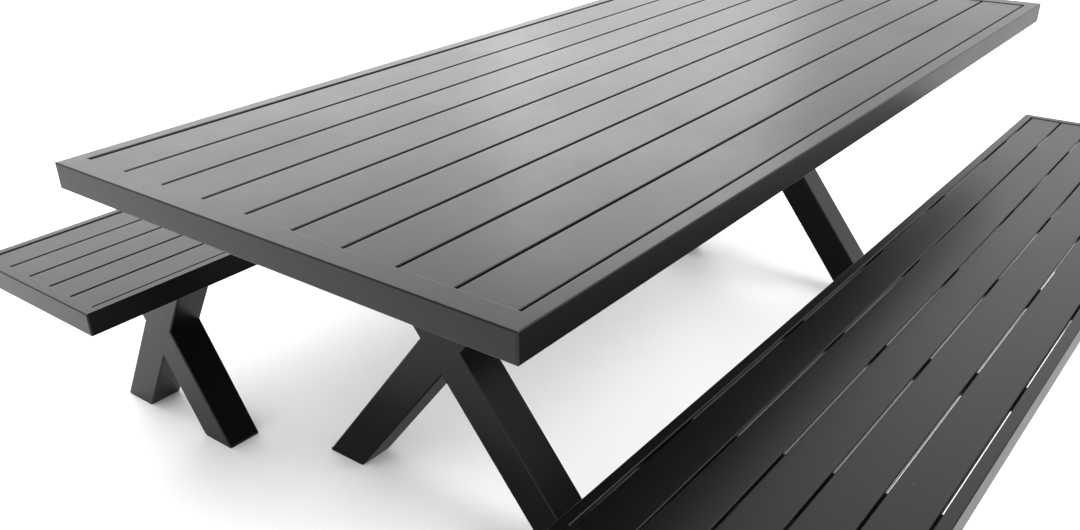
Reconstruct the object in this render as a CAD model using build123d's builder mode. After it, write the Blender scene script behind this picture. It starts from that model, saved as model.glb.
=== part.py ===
from build123d import *
import math
import os

os.makedirs("parts", exist_ok=True)

# Slatted metal dining set: one table on two crossed legs and two matching
# benches, each standing on two smaller crossed legs.
# Units are mm. X runs along the length, Y across, Z up.
# The origin is on the floor under the middle of the table.

# ---------------------------------------------------------------- sizes
rail_h = 47.0            # height of every edge rail
slat_drop = 1.5          # slat tops sit this far below the rail tops
slat_wall = 1.5          # wall of a slat extrusion
rail_wall = 2.0          # wall of an edge rail
edge_r = 2.5             # rounded long edges of the rails
corner_r = 3.2           # rounded corners of each frame, seen from above
slat_r = 2.0             # rounded long edges of a slat
bar_h = 22.0             # height of bars and bearers under the slats
bar_w = 50.0             # width of a cross bar
bar_wall = 2.0
bearer_w = 130.0         # width of the bearer over a leg
bearer_wall = 3.0
bar_x = 375.0            # distance of the outer cross bars from the middle
plate_t = 5.0            # leg top plate
plate_w = 122.0
tube = 80.0              # square leg tube
tube_wall = 2.5
tube_r = 4.0
cap_t = 4.0              # plastic sole under each foot
plug_h = 14.0            # part of the sole that sits inside the tube
plug_gap = 0.3

# table
t_len, t_wid, t_h = 2200.0, 1000.0, 750.0
t_end_w, t_side_w = 45.0, 30.0
t_slats = 9
t_slat_w, t_slat_t = 99.0, 20.0   # width and thickness of a slat
t_leg_x = 678.0          # leg centre from the middle of the table
t_foot_y, t_top_y = 307.0, 252.0
t_plate_l = 660.0
t_bolt_y = 200.0

# bench
b_len, b_wid, b_h = 2200.0, 420.0, 450.0
b_end_w, b_side_w = 25.0, 20.0
b_slats = 5
b_slat_w, b_slat_t = 71.4, 12.0
b_leg_x = 811.0
b_foot_y, b_top_y = 151.0, 98.0
b_plate_l = 330.0
b_bolt_y = 40.0
b_off_l = 735.0          # left bench centre from the table centre
b_off_r = 727.0          # right bench centre from the table centre
b_shift_r = 28.0         # the right bench stands this much further along +X

# bolts under the leg plates, M8
bolt_r = 4.0
bolt_hole_r = 4.5
nut_hole_r = 4.1
head_af = 13.0
head_h = 5.3
washer_r = 8.0
washer_t = 1.6
shank_l = 18.0
bolt_dx = 50.0


def mitre(corner, inner, s):
    return (corner[0] + s * (inner[0] - corner[0]),
            corner[1] + s * (inner[1] - corner[1]))


def rail_points(length, width, end_w, side_w, cx, cy, which, inset):
    """Plan outline of one mitred rail; inset > 0 gives the hollow inside."""
    hx, hy = length / 2, width / 2
    wide = end_w if which in ("near", "far") else side_w
    s1, s2 = inset / wide, 1 - inset / wide
    c = {"nl": ((-hx, hy), (-hx + end_w, hy - side_w)),
         "nr": ((-hx, -hy), (-hx + end_w, -hy + side_w)),
         "fl": ((hx, hy), (hx - end_w, hy - side_w)),
         "fr": ((hx, -hy), (hx - end_w, -hy + side_w))}
    a, b = {"near": ("nr", "nl"), "far": ("fl", "fr"),
            "left": ("nl", "fl"), "right": ("fr", "nr")}[which]
    pts = [mitre(*c[a], s1), mitre(*c[b], s1), mitre(*c[b], s2), mitre(*c[a], s2)]
    return [(x + cx, y + cy) for x, y in pts]


def arm_points(y_foot, y_top, z_top, half, z0):
    """Side outline of one leg tube that leans from y_foot to y_top."""
    def at(z):
        return y_foot + (y_top - y_foot) * z / z_top
    return [(at(z0) - half, z0), (at(z0) + half, z0),
            (at(z_top) + half, z_top), (at(z_top) - half, z_top)]


def save(part, name):
    part.label = name
    export_step(part, f"parts/{name}.step")


sets = [
    # prefix, centre x, centre y, length, width, height, end rail, side rail, slats,
    # slat width, slat thickness, leg x, foot y, top y, plate length, bolt y
    ("table", 0.0, 0.0, t_len, t_wid, t_h, t_end_w, t_side_w, t_slats, t_slat_w,
     t_slat_t, t_leg_x, t_foot_y, t_top_y, t_plate_l, t_bolt_y),
    ("bench_left", 0.0, b_off_l, b_len, b_wid, b_h, b_end_w, b_side_w, b_slats,
     b_slat_w, b_slat_t, b_leg_x, b_foot_y, b_top_y, b_plate_l, b_bolt_y),
    ("bench_right", b_shift_r, -b_off_r, b_len, b_wid, b_h, b_end_w, b_side_w, b_slats,
     b_slat_w, b_slat_t, b_leg_x, b_foot_y, b_top_y, b_plate_l, b_bolt_y),
]

for (prefix, cx, cy, length, width, height, end_w, side_w, n_slats, slat_w,
     slat_t, leg_x, foot_y, top_y, plate_l, bolt_y) in sets:

    z_rail = height - rail_h                 # underside of the rails
    z_slat = height - slat_drop - slat_t     # underside of the slats
    z_bar = z_slat - bar_h                   # underside of bars and bearers
    z_leg = z_bar - plate_t                  # top of the legs
    inner_w = width - 2 * side_w             # clear width between side rails
    inner_l = length - 2 * end_w             # clear length between end rails

    # ------------------------------------------------------------ rails
    for which in ("near", "far", "left", "right"):
        with BuildPart() as rail:
            with BuildSketch(Plane.XY.offset(z_rail)):
                with BuildLine():
                    Polyline(*rail_points(length, width, end_w, side_w, cx, cy, which, 0.0), close=True)
                make_face()
            extrude(amount=rail_h)
            along = Axis.Y if which in ("near", "far") else Axis.X
            fillet(rail.edges().filter_by(along), radius=edge_r)
            # rounded corner of the whole frame, seen from above
            with BuildSketch(Plane.XY.offset(z_rail)):
                with Locations((cx, cy)):
                    RectangleRounded(length, width, corner_r)
            extrude(amount=rail_h, mode=Mode.INTERSECT)
            with BuildSketch(Plane.XY.offset(z_rail + rail_wall)):
                with BuildLine():
                    Polyline(*rail_points(length, width, end_w, side_w, cx, cy, which, rail_wall), close=True)
                make_face()
            extrude(amount=rail_h - 2 * rail_wall, mode=Mode.SUBTRACT)
        kind = "end" if which in ("near", "far") else "side"
        save(rail.part, f"{prefix}_{kind}_rail_{which}")

    # ------------------------------------------------------------ slats
    gap = (inner_w - n_slats * slat_w) / (n_slats + 1)
    for i in range(n_slats):
        y = cy + inner_w / 2 - gap - slat_w / 2 - i * (slat_w + gap)
        with BuildPart() as slat:
            with BuildSketch(Plane.YZ.offset(cx - inner_l / 2)):
                with Locations((y, z_slat + slat_t / 2)):
                    RectangleRounded(slat_w, slat_t, slat_r)
                    RectangleRounded(slat_w - 2 * slat_wall, slat_t - 2 * slat_wall,
                                     slat_r / 2, mode=Mode.SUBTRACT)
            extrude(amount=inner_l)
        save(slat.part, f"{prefix}_slat_{i + 1}")

    # ------------------------------------- cross bars under the slats
    with BuildPart() as bars:
        with BuildSketch(Plane.XZ.offset(-(cy - inner_w / 2))):
            with Locations((cx - bar_x, z_bar + bar_h / 2), (cx, z_bar + bar_h / 2),
                           (cx + bar_x, z_bar + bar_h / 2)):
                Rectangle(bar_w, bar_h)
                Rectangle(bar_w - 2 * bar_wall, bar_h - 2 * bar_wall, mode=Mode.SUBTRACT)
        extrude(amount=-inner_w)
    save(bars.part, f"{prefix}_cross_bars")

    # ----------------------------------- wide bearers above the legs
    with BuildPart() as bearers:
        with BuildSketch(Plane.XZ.offset(-(cy - inner_w / 2))):
            with Locations((cx - leg_x, z_bar + bar_h / 2), (cx + leg_x, z_bar + bar_h / 2)):
                Rectangle(bearer_w, bar_h)
                Rectangle(bearer_w - 2 * bearer_wall, bar_h - 2 * bearer_wall, mode=Mode.SUBTRACT)
        extrude(amount=-inner_w)
        with BuildSketch(Plane.XY.offset(z_bar)):
            with Locations((cx - leg_x, cy), (cx + leg_x, cy)):
                with GridLocations(2 * bolt_dx, 2 * bolt_y, 2, 2):
                    Circle(nut_hole_r)
        extrude(amount=bearer_wall, mode=Mode.SUBTRACT)
    save(bearers.part, f"{prefix}_leg_bearers")

    # ---------------------------------------------- leg top plates
    with BuildPart() as plates:
        with BuildSketch(Plane.XY.offset(z_leg)):
            with Locations((cx - leg_x, cy), (cx + leg_x, cy)):
                RectangleRounded(plate_w, plate_l, 6.0)
                with GridLocations(2 * bolt_dx, 2 * bolt_y, 2, 2):
                    Circle(bolt_hole_r, mode=Mode.SUBTRACT)
        extrude(amount=plate_t)
    save(plates.part, f"{prefix}_leg_plates")

    # ------------------------------------------------------- bolts
    with BuildPart() as bolts:
        with BuildSketch(Plane.XY.offset(z_leg - washer_t)):
            with Locations((cx - leg_x, cy), (cx + leg_x, cy)):
                with GridLocations(2 * bolt_dx, 2 * bolt_y, 2, 2):
                    Circle(washer_r)
        extrude(amount=washer_t)
        with BuildSketch(Plane.XY.offset(z_leg - washer_t - head_h)):
            with Locations((cx - leg_x, cy), (cx + leg_x, cy)):
                with GridLocations(2 * bolt_dx, 2 * bolt_y, 2, 2):
                    RegularPolygon(head_af / 2, 6, major_radius=False)
        extrude(amount=head_h)
        with BuildSketch(Plane.XY.offset(z_leg)):
            with Locations((cx - leg_x, cy), (cx + leg_x, cy)):
                with GridLocations(2 * bolt_dx, 2 * bolt_y, 2, 2):
                    Circle(bolt_r)
        extrude(amount=shank_l)
    save(bolts.part, f"{prefix}_leg_bolts")

    # -------------------------------------------------- crossed legs
    slope = math.atan2(z_leg, foot_y + top_y)
    half = tube / math.sin(slope) / 2        # half width of the tube cut level
    wall_y = tube_wall / math.sin(slope)
    z_cross = z_leg * foot_y / (foot_y + top_y)
    for side, sx in (("near", -1), ("far", 1)):
        x0 = cx + sx * leg_x - tube / 2
        # outer form of the straight tube from the left foot to the top right
        with BuildPart() as long_outer:
            with BuildSketch(Plane.YZ.offset(x0)):
                with BuildLine():
                    Polyline(*[(cy + y, z) for y, z in
                               arm_points(foot_y, -top_y, z_leg, half, cap_t)], close=True)
                make_face()
            extrude(amount=tube)
            level = (long_outer.edges().filter_by(Axis.X)
                     + long_outer.edges().filter_by(Axis.Y))
            fillet(long_outer.edges() - level, radius=tube_r)
        # the same tube, hollow
        with BuildPart() as long_tube:
            add(long_outer.part)
            with BuildSketch(Plane.YZ.offset(x0 + tube_wall)):
                with BuildLine():
                    Polyline(*[(cy + y, z) for y, z in
                               arm_points(foot_y, -top_y, z_leg, half - wall_y, cap_t)], close=True)
                make_face()
            extrude(amount=tube - 2 * tube_wall, mode=Mode.SUBTRACT)
        save(long_tube.part, f"{prefix}_leg_{side}_long_tube")

        # the other diagonal, in two arms that butt the long tube
        with BuildPart() as arms:
            with BuildSketch(Plane.YZ.offset(x0)):
                with BuildLine():
                    Polyline(*[(cy + y, z) for y, z in
                               arm_points(-foot_y, top_y, z_leg, half, cap_t)], close=True)
                make_face()
            extrude(amount=tube)
            level = (arms.edges().filter_by(Axis.X)
                     + arms.edges().filter_by(Axis.Y))
            fillet(arms.edges() - level, radius=tube_r)
            with BuildSketch(Plane.YZ.offset(x0 + tube_wall)):
                with BuildLine():
                    Polyline(*[(cy + y, z) for y, z in
                               arm_points(-foot_y, top_y, z_leg, half - wall_y, cap_t)], close=True)
                make_face()
            extrude(amount=tube - 2 * tube_wall, mode=Mode.SUBTRACT)
            # room for the long tube, rounded corners included
            add(long_outer.part, mode=Mode.SUBTRACT)
        save(arms.part, f"{prefix}_leg_{side}_short_arms")

    # ---------------------------------- soles pressed into the feet
    with BuildPart() as soles:
        for sx in (-1, 1):
            for sy in (-1, 1):
                # the sole itself, flush with the tube
                with BuildSketch(Plane.XY):
                    with Locations((cx + sx * leg_x, cy + sy * foot_y)):
                        RectangleRounded(tube - 2.0, 2 * half - 2.0, tube_r)
                extrude(amount=cap_t)
                # the plug follows the lean of the tube
                with BuildSketch(Plane.YZ.offset(cx + sx * leg_x - tube / 2 + tube_wall + plug_gap)):
                    with BuildLine():
                        pts = [(cy + y, z) for y, z in
                               arm_points(sy * foot_y, -sy * top_y, z_leg,
                                          half - wall_y - plug_gap * 1.5, cap_t)]
                        lean = (pts[3][0] - pts[0][0]) / (pts[3][1] - pts[0][1])
                        Polyline(pts[0], pts[1],
                                 (pts[1][0] + lean * plug_h, cap_t + plug_h),
                                 (pts[0][0] + lean * plug_h, cap_t + plug_h), close=True)
                    make_face()
                extrude(amount=tube - 2 * (tube_wall + plug_gap))
    save(soles.part, f"{prefix}_foot_soles")
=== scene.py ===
import math
import bpy
from mathutils import Matrix, Vector

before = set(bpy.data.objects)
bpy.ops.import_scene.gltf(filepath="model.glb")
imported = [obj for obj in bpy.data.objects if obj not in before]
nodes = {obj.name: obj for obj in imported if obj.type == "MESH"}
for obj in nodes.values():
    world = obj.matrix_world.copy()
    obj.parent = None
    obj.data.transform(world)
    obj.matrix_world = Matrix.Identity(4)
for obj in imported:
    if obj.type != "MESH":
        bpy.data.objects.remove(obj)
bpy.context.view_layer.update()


# ---------------------------------------------------------------- node helpers


def new_material(name):
    mat = bpy.data.materials.new(name)
    mat.use_nodes = True
    nt = mat.node_tree
    bsdf = nt.nodes["Principled BSDF"]
    return mat, nt, bsdf


def add(nt, kind, x=0, y=0, **values):
    n = nt.nodes.new(kind)
    n.location = (x, y)
    for k, v in values.items():
        setattr(n, k, v)
    return n


def noise(nt, vec, scale, detail=2.0, rough=0.5, distortion=0.0):
    n = add(nt, "ShaderNodeTexNoise")
    n.inputs["Scale"].default_value = scale
    n.inputs["Detail"].default_value = detail
    n.inputs["Roughness"].default_value = rough
    n.inputs["Distortion"].default_value = distortion
    nt.links.new(vec, n.inputs["Vector"])
    return n.outputs["Fac"]


def remap(nt, src, a, b, c, d, smooth=False):
    n = add(nt, "ShaderNodeMapRange")
    n.interpolation_type = "SMOOTHSTEP" if smooth else "LINEAR"
    n.inputs["From Min"].default_value = a
    n.inputs["From Max"].default_value = b
    n.inputs["To Min"].default_value = c
    n.inputs["To Max"].default_value = d
    nt.links.new(src, n.inputs["Value"])
    return n.outputs["Result"]


def math_node(nt, op, a, b=None, clamp=False):
    n = add(nt, "ShaderNodeMath")
    n.operation = op
    n.use_clamp = clamp
    for i, v in enumerate((a, b)):
        if v is None:
            continue
        if isinstance(v, (int, float)):
            n.inputs[i].default_value = v
        else:
            nt.links.new(v, n.inputs[i])
    return n.outputs[0]


def mix_color(nt, fac, a, b):
    n = add(nt, "ShaderNodeMix")
    n.data_type = "RGBA"
    n.blend_type = "MIX"
    if isinstance(fac, (int, float)):
        n.inputs[0].default_value = fac
    else:
        nt.links.new(fac, n.inputs[0])
    for i, v in ((6, a), (7, b)):
        if isinstance(v, tuple):
            n.inputs[i].default_value = (*v, 1.0)
        else:
            nt.links.new(v, n.inputs[i])
    return n.outputs[2]


def edge_mask(nt, radius, gain):
    """0 on flat faces, towards 1 along the edges, from the angle between the
    real normal and one rounded over the given radius."""
    bev = add(nt, "ShaderNodeBevel")
    bev.samples = 4
    bev.inputs["Radius"].default_value = radius
    geo = add(nt, "ShaderNodeNewGeometry")
    dot = add(nt, "ShaderNodeVectorMath")
    dot.operation = "DOT_PRODUCT"
    nt.links.new(bev.outputs["Normal"], dot.inputs[0])
    nt.links.new(geo.outputs["Normal"], dot.inputs[1])
    inv = math_node(nt, "SUBTRACT", 1.0, dot.outputs["Value"])
    return math_node(nt, "MULTIPLY", inv, gain, clamp=True)


# ---------------------------------------------------------------- materials

# satin charcoal powder coat on aluminium
BASE = 0.0018


def powder_coat():
    mat, nt, bsdf = new_material("coat_charcoal")
    tc = add(nt, "ShaderNodeTexCoord")
    pos = tc.outputs["Object"]
    cloud = noise(nt, pos, 2.6, 3.0, 0.55, 0.3)
    mottle = noise(nt, pos, 38.0, 3.0, 0.6)
    grain = noise(nt, pos, 900.0, 2.0, 0.6)
    peel = noise(nt, pos, 420.0, 2.0, 0.5)

    # colour: near-black grey with slow clouding, fine pigment grain and dust
    k = math_node(nt, "ADD",
                  math_node(nt, "MULTIPLY", remap(nt, cloud, 0.3, 0.7, -0.5, 0.5), 0.5),
                  math_node(nt, "ADD",
                            math_node(nt, "MULTIPLY", remap(nt, mottle, 0.3, 0.7, -0.5, 0.5), 0.35),
                            math_node(nt, "MULTIPLY", remap(nt, grain, 0.3, 0.7, -0.5, 0.5), 0.5)))
    fac = math_node(nt, "ADD", k, 0.5, clamp=True)
    col = mix_color(nt, fac, (BASE * 0.75, BASE * 0.76, BASE * 0.8), (BASE * 1.35, BASE * 1.37, BASE * 1.45))

    # edges: the coat pulls thin and rubs a little paler there; the paler edge colour is also a painted highlight where
    # light catches the rounded edges
    edge = edge_mask(nt, 0.0016, 2.6)
    rub_and_highlight_breakup = remap(nt, noise(nt, pos, 60.0, 4.0, 0.65), 0.35, 0.75, 0.25, 1.0, True)
    edge_wear_and_highlight = math_node(nt, "MULTIPLY", edge, rub_and_highlight_breakup)
    # wear and painted highlight: mixes the edges towards a paler grey
    col = mix_color(nt, math_node(nt, "MULTIPLY", edge_wear_and_highlight, 0.35), col, (0.022, 0.022, 0.023))

    # settled dust: sparse pale specks on faces that look up
    geo = add(nt, "ShaderNodeNewGeometry")
    sep = add(nt, "ShaderNodeSeparateXYZ")
    nt.links.new(geo.outputs["Normal"], sep.inputs[0])
    up = remap(nt, sep.outputs["Z"], 0.6, 0.95, 0.0, 1.0)
    vor = add(nt, "ShaderNodeTexVoronoi")
    vor.inputs["Scale"].default_value = 62.0
    vor.inputs["Randomness"].default_value = 1.0
    nt.links.new(pos, vor.inputs["Vector"])
    cellpick = add(nt, "ShaderNodeSeparateColor")
    nt.links.new(vor.outputs["Color"], cellpick.inputs[0])
    dot = remap(nt, vor.outputs["Distance"], 0.03, 0.075, 1.0, 0.0, True)
    rare = remap(nt, cellpick.outputs[0], 0.955, 0.965, 0.0, 1.0)
    speck = math_node(nt, "MULTIPLY", math_node(nt, "MULTIPLY", dot, rare), up)
    col = mix_color(nt, math_node(nt, "MULTIPLY", speck, 0.35), col, (0.35, 0.35, 0.34))
    nt.links.new(col, bsdf.inputs["Base Color"])

    # gloss: satin, with cloudy and fine variation; edges a touch shinier
    r = math_node(nt, "ADD",
                  remap(nt, cloud, 0.25, 0.75, 0.295, 0.345),
                  math_node(nt, "ADD",
                            remap(nt, mottle, 0.3, 0.7, -0.012, 0.012),
                            remap(nt, grain, 0.3, 0.7, -0.02, 0.02)))
    r = math_node(nt, "SUBTRACT", r, math_node(nt, "MULTIPLY", edge_wear_and_highlight, 0.05))
    r = math_node(nt, "ADD", r, math_node(nt, "MULTIPLY", speck, 0.4))
    nt.links.new(r, bsdf.inputs["Roughness"])
    bsdf.inputs["Specular IOR Level"].default_value = 0.197
    bsdf.inputs["Specular Tint"].default_value = (0.975, 0.967, 1.0, 1.0)
    bsdf.inputs["IOR"].default_value = 1.5

    # surface: fine orange peel and powder grain
    b1 = add(nt, "ShaderNodeBump")
    b1.inputs["Strength"].default_value = 0.10
    b1.inputs["Distance"].default_value = 0.0004
    nt.links.new(peel, b1.inputs["Height"])
    b2 = add(nt, "ShaderNodeBump")
    b2.inputs["Strength"].default_value = 0.08
    b2.inputs["Distance"].default_value = 0.0002
    nt.links.new(grain, b2.inputs["Height"])
    nt.links.new(b1.outputs["Normal"], b2.inputs["Normal"])
    nt.links.new(b2.outputs["Normal"], bsdf.inputs["Normal"])
    return mat


def sole_plastic():
    mat, nt, bsdf = new_material("sole_black_plastic")
    tc = add(nt, "ShaderNodeTexCoord")
    pos = tc.outputs["Object"]
    a = noise(nt, pos, 45.0, 3.0, 0.6)
    g = noise(nt, pos, 1100.0, 2.0, 0.6)
    fac = math_node(nt, "ADD", math_node(nt, "MULTIPLY", a, 0.6), math_node(nt, "MULTIPLY", g, 0.4))
    col = mix_color(nt, fac, (0.008, 0.008, 0.009), (0.026, 0.026, 0.027))
    edge = edge_mask(nt, 0.0012, 2.0)
    scuff = math_node(nt, "MULTIPLY", edge, remap(nt, noise(nt, pos, 90.0, 4.0, 0.7), 0.4, 0.7, 0.1, 1.0, True))
    col = mix_color(nt, math_node(nt, "MULTIPLY", scuff, 0.6), col, (0.09, 0.09, 0.088))
    nt.links.new(col, bsdf.inputs["Base Color"])
    nt.links.new(remap(nt, fac, 0.3, 0.7, 0.5, 0.68), bsdf.inputs["Roughness"])
    bsdf.inputs["Specular IOR Level"].default_value = 0.3
    b = add(nt, "ShaderNodeBump")
    b.inputs["Strength"].default_value = 0.25
    b.inputs["Distance"].default_value = 0.0003
    nt.links.new(g, b.inputs["Height"])
    nt.links.new(b.outputs["Normal"], bsdf.inputs["Normal"])
    return mat


def bolt_zinc():
    mat, nt, bsdf = new_material("bolt_zinc")
    tc = add(nt, "ShaderNodeTexCoord")
    pos = tc.outputs["Object"]
    sp = noise(nt, pos, 210.0, 4.0, 0.65, 0.4)
    fine = noise(nt, pos, 1500.0, 2.0, 0.6)
    col = mix_color(nt, remap(nt, sp, 0.35, 0.65, 0.0, 1.0, True), (0.36, 0.36, 0.37), (0.60, 0.60, 0.61))
    edge = edge_mask(nt, 0.0006, 2.5)
    col = mix_color(nt, math_node(nt, "MULTIPLY", edge, 0.5), col, (0.72, 0.72, 0.72))
    nt.links.new(col, bsdf.inputs["Base Color"])
    bsdf.inputs["Metallic"].default_value = 1.0
    nt.links.new(remap(nt, sp, 0.3, 0.7, 0.28, 0.46), bsdf.inputs["Roughness"])
    b = add(nt, "ShaderNodeBump")
    b.inputs["Strength"].default_value = 0.15
    b.inputs["Distance"].default_value = 0.0002
    nt.links.new(fine, b.inputs["Height"])
    nt.links.new(b.outputs["Normal"], bsdf.inputs["Normal"])
    return mat


COAT = powder_coat()
SOLE = sole_plastic()
ZINC = bolt_zinc()

for name, ob in nodes.items():
    if name.endswith("_foot_soles"):
        mat = SOLE
    elif name.endswith("_leg_bolts"):
        mat = ZINC
    else:
        mat = COAT
    if not ob.material_slots:
        ob.data.materials.append(mat)
    for s in ob.material_slots:
        s.material = mat

# ---------------------------------------------------------------- studio


def floor_material():
    mat, nt, bsdf = new_material("studio_floor")
    tc = add(nt, "ShaderNodeTexCoord")
    a = noise(nt, tc.outputs["Object"], 0.7, 3.0, 0.5)
    col = mix_color(nt, a, (0.94, 0.941, 0.943), (0.96, 0.961, 0.963))
    nt.links.new(col, bsdf.inputs["Base Color"])
    bsdf.inputs["Roughness"].default_value = 0.62
    bsdf.inputs["Specular IOR Level"].default_value = 0.25
    return mat


FLOOR_R = 45.0
verts = [(0.0, 0.0, 0.0)]
faces = []
N = 96
for i in range(N):
    a = 2 * math.pi * i / N
    verts.append((FLOOR_R * math.cos(a), FLOOR_R * math.sin(a), 0.0))
for i in range(N):
    faces.append((0, 1 + i, 1 + (i + 1) % N))
me = bpy.data.meshes.new("studio_floor")
me.from_pydata(verts, [], faces)
me.materials.append(floor_material())
floor = bpy.data.objects.new("studio_floor", me)
floor.location = (0.0, 0.0, -0.0005)
bpy.context.scene.collection.objects.link(floor)

world = bpy.data.worlds.new("studio_world")
world.use_nodes = True
bg = world.node_tree.nodes["Background"]
bg.inputs["Color"].default_value = (0.993, 0.995, 1.0, 1.0)
bg.inputs["Strength"].default_value = 1.66
bpy.context.scene.world = world
bpy.context.scene.view_settings.view_transform = "Standard"


def softbox(name, az, elev, dist, width, height, radiance, aim=(0.0, 0.0, 0.5), color=(0.975, 0.98, 1.0), glossy=True):
    """A rectangular area light of the given radiance, on a bearing from the
    middle of the set, facing the aim point."""
    a, e = math.radians(az), math.radians(elev)
    p = Vector((dist * math.cos(e) * math.cos(a), dist * math.cos(e) * math.sin(a), dist * math.sin(e)))
    data = bpy.data.lights.new(name, "AREA")
    data.shape = "RECTANGLE"
    data.size = width
    data.size_y = height
    data.energy = radiance * math.pi * width * height
    data.color = color
    ob = bpy.data.objects.new(name, data)
    ob.location = p
    ob.rotation_euler = (Vector(aim) - p).to_track_quat("-Z", "Y").to_euler()
    ob.visible_camera = False
    ob.visible_glossy = glossy
    bpy.context.scene.collection.objects.link(ob)
    return ob


softbox("back_panel_left", 60.0, 24.0, 8.0, 5.4, 2.6, 2.0)
softbox("back_panel_mid", 32.0, 26.5, 8.0, 2.6, 2.0, 3.3)
softbox("front_panel", 12.0, 40.0, 7.0, 2.8, 1.6, 0.8)
softbox("key_panel", -75.0, 55.0, 5.5, 3.6, 3.2, 10.5)
softbox("left_fill", 98.0, 32.0, 5.0, 3.0, 2.0, 4.0, glossy=False)


def flag(name, corners, value):
    """A dark studio card that only shows in reflections: a painted reflection that lights nothing and casts no shade.
    """
    mat = bpy.data.materials.new(name)
    mat.use_nodes = True
    nt = mat.node_tree
    nt.nodes.clear()
    em = add(nt, "ShaderNodeEmission")
    em.inputs["Color"].default_value = (1.0, 1.0, 1.0, 1.0)
    em.inputs["Strength"].default_value = value
    out = add(nt, "ShaderNodeOutputMaterial")
    nt.links.new(em.outputs[0], out.inputs["Surface"])
    card = bpy.data.meshes.new(name)
    card.from_pydata(corners, [], [(0, 1, 2, 3)])
    card.materials.append(mat)
    ob = bpy.data.objects.new(name, card)
    ob.visible_camera = False
    ob.visible_diffuse = False
    ob.visible_shadow = False
    ob.visible_transmission = False
    ob.visible_volume_scatter = False
    bpy.context.scene.collection.objects.link(ob)
    return ob


def floor_card(name, x0, y0, x1, y1, value):
    return flag(name, [(x0, y0, 0.001), (x1, y0, 0.001), (x1, y1, 0.001), (x0, y1, 0.001)], value)


def hung_card(name, az, elev, dist, size, value, aim=(-1.1, 0.0, 0.75)):
    """A square card on a bearing from the aim point, facing it."""
    a, e = math.radians(az), math.radians(elev)
    d = Vector((math.cos(e) * math.cos(a), math.cos(e) * math.sin(a), math.sin(e)))
    u = Vector((-math.sin(a), math.cos(a), 0.0))
    v = d.cross(u)
    p, h = Vector(aim) + d * dist, size / 2
    return flag(name, [p - u * h - v * h, p + u * h - v * h, p + u * h + v * h, p - u * h + v * h], value)


# painted reflections: these cards only set what the surfaces reflect, and light or shade nothing
flag("side_flag", [(-1.0, -2.6, 0.1), (2.8, -2.6, 0.1), (2.8, -2.6, 2.4), (-1.0, -2.6, 2.4)], 0.12)
floor_card("side_floor_card", -0.6, -4.0, 6.5, -0.96, 1.35)
# painted shade: a dim card under the table darkens the floor there as seen in reflections
floor_card("under_table_shade_card", -0.98, -0.47, 0.7, 0.49, 0.22)
hung_card("corner_card", 131.0, 53.0, 4.0, 2.0, 0.1)

# ---------------------------------------------------------------- camera

F_PX, CX, CY = 1022.6164, 527.1127, 335.066
ROT = (-0.0086, 0.1174, 0.0457)
CENTRE = (-1.8974088, -1.1525828, 1.3221252)

fwd = Vector((0.75, 0.45, -0.5)).normalized()
right = fwd.cross(Vector((0, 0, 1))).normalized()
down = fwd.cross(right)
base = Matrix((right, down, fwd))
rv = Vector(ROT)
rows = Matrix.Rotation(rv.length, 3, rv.normalized()) @ base

cam_data = bpy.data.cameras.new("camera")
cam = bpy.data.objects.new("camera", cam_data)
bpy.context.scene.collection.objects.link(cam)
m = Matrix.Identity(4)
for r in range(3):
    m[r][0] = rows[0][r]
    m[r][1] = -rows[1][r]
    m[r][2] = -rows[2][r]
m.translation = Vector(CENTRE)
cam.matrix_world = m
cam_data.sensor_fit = "HORIZONTAL"
cam_data.sensor_width = 36.0
cam_data.lens = F_PX * 36.0 / 1080.0
cam_data.shift_x = (540.0 - CX) / 1080.0
cam_data.shift_y = (CY - 265.0) / 1080.0
cam_data.clip_start = 0.05
cam_data.clip_end = 200.0
cam_data.dof.use_dof = False
bpy.context.scene.camera = cam
